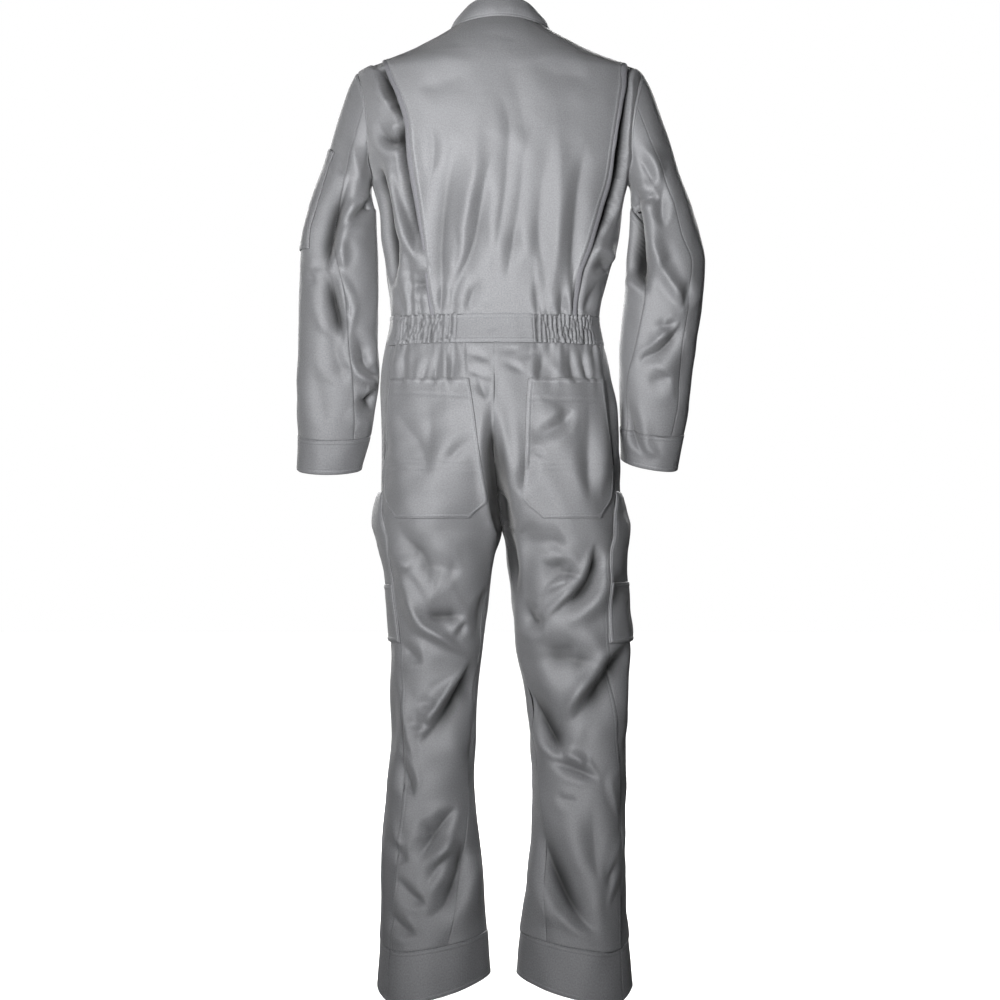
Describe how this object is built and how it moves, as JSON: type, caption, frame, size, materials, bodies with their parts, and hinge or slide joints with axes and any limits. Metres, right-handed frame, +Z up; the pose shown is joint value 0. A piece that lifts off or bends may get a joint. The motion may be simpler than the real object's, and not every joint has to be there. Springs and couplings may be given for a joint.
{
  "type": "boiler suit",
  "caption": "One-piece work boiler suit filled out as worn: stand collar, pleated back, elasticated waist, long sleeves, straight legs, patch pockets and thigh pockets.",
  "frame": {"origin": "between the wearer's shoulders, level with the points where the collar meets the shoulder seams", "axes": "+Z up, the suit's front faces -Y, +X towards the wearer's left"},
  "size_m": [0.6543, 0.2729, 1.5982],
  "materials": {
    "grey_twill": "matt grey cotton twill with a slight satin sheen",
    "grey_twill_band": "the same twill, doubled and stiffened"
  },
  "bodies": {
    "root": {"back_centre": "grey_twill", "back_pleat_L": "grey_twill", "back_pleat_R": "grey_twill", "back_pocket_L": "grey_twill", "back_pocket_R": "grey_twill", "back_side_L": "grey_twill", "back_side_R": "grey_twill", "collar": "grey_twill_band", "cuff_L": "grey_twill_band", "cuff_R": "grey_twill_band", "front_L": "grey_twill", "front_R": "grey_twill", "front_fly": "grey_twill", "leg_back_L": "grey_twill", "leg_back_R": "grey_twill", "leg_front_L": "grey_twill", "leg_front_R": "grey_twill", "leg_hem_L": "grey_twill", "leg_hem_R": "grey_twill", "sleeve_pocket_L": "grey_twill", "sleeve_top_L": "grey_twill", "sleeve_top_R": "grey_twill", "sleeve_under_L": "grey_twill", "sleeve_under_R": "grey_twill", "thigh_pocket_L": "grey_twill", "thigh_pocket_R": "grey_twill", "thigh_pocket_small_L": "grey_twill", "thigh_pocket_small_R": "grey_twill", "waistband_back": "grey_twill_band", "waistband_elastic_L": "grey_twill_band", "waistband_elastic_R": "grey_twill_band", "waistband_front_L": "grey_twill_band", "waistband_front_R": "grey_twill_band"}
  },
  "joints": []
}
